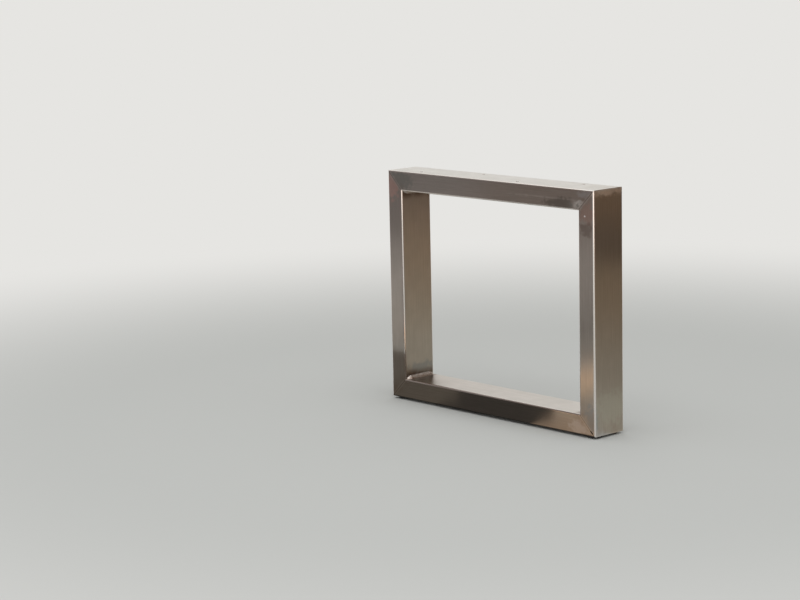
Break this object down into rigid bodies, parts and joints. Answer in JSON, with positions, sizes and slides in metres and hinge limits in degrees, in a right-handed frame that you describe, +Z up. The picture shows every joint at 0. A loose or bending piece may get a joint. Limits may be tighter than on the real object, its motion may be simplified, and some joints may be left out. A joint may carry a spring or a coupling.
{
  "type": "coffee table leg",
  "caption": "Rectangular ring leg of welded brushed steel tube on round rubber pads, with screw holes along its top for a coffee table top.",
  "frame": {"origin": "on the floor, under the middle of the leg", "axes": "+X along the width of the leg, +Y into the depth of the tube, away from the front, +Z up"},
  "size_m": [0.42, 0.06, 0.353],
  "materials": {
    "brushed_tube": "brushed along each tube, ground at the mitres",
    "weld_bead": "bare weld metal, lightly brushed, with heat tint beside it",
    "pad_rubber": "matt moulded rubber"
  },
  "bodies": {
    "root": {"top_tube": "brushed_tube", "bottom_tube": "brushed_tube", "left_upright": "brushed_tube", "right_upright": "brushed_tube", "weld_top_left": "weld_bead", "weld_top_right": "weld_bead", "weld_bottom_left": "weld_bead", "weld_bottom_right": "weld_bead", "pad_front_left": "pad_rubber", "pad_front_right": "pad_rubber", "pad_back_left": "pad_rubber", "pad_back_right": "pad_rubber"}
  },
  "joints": []
}
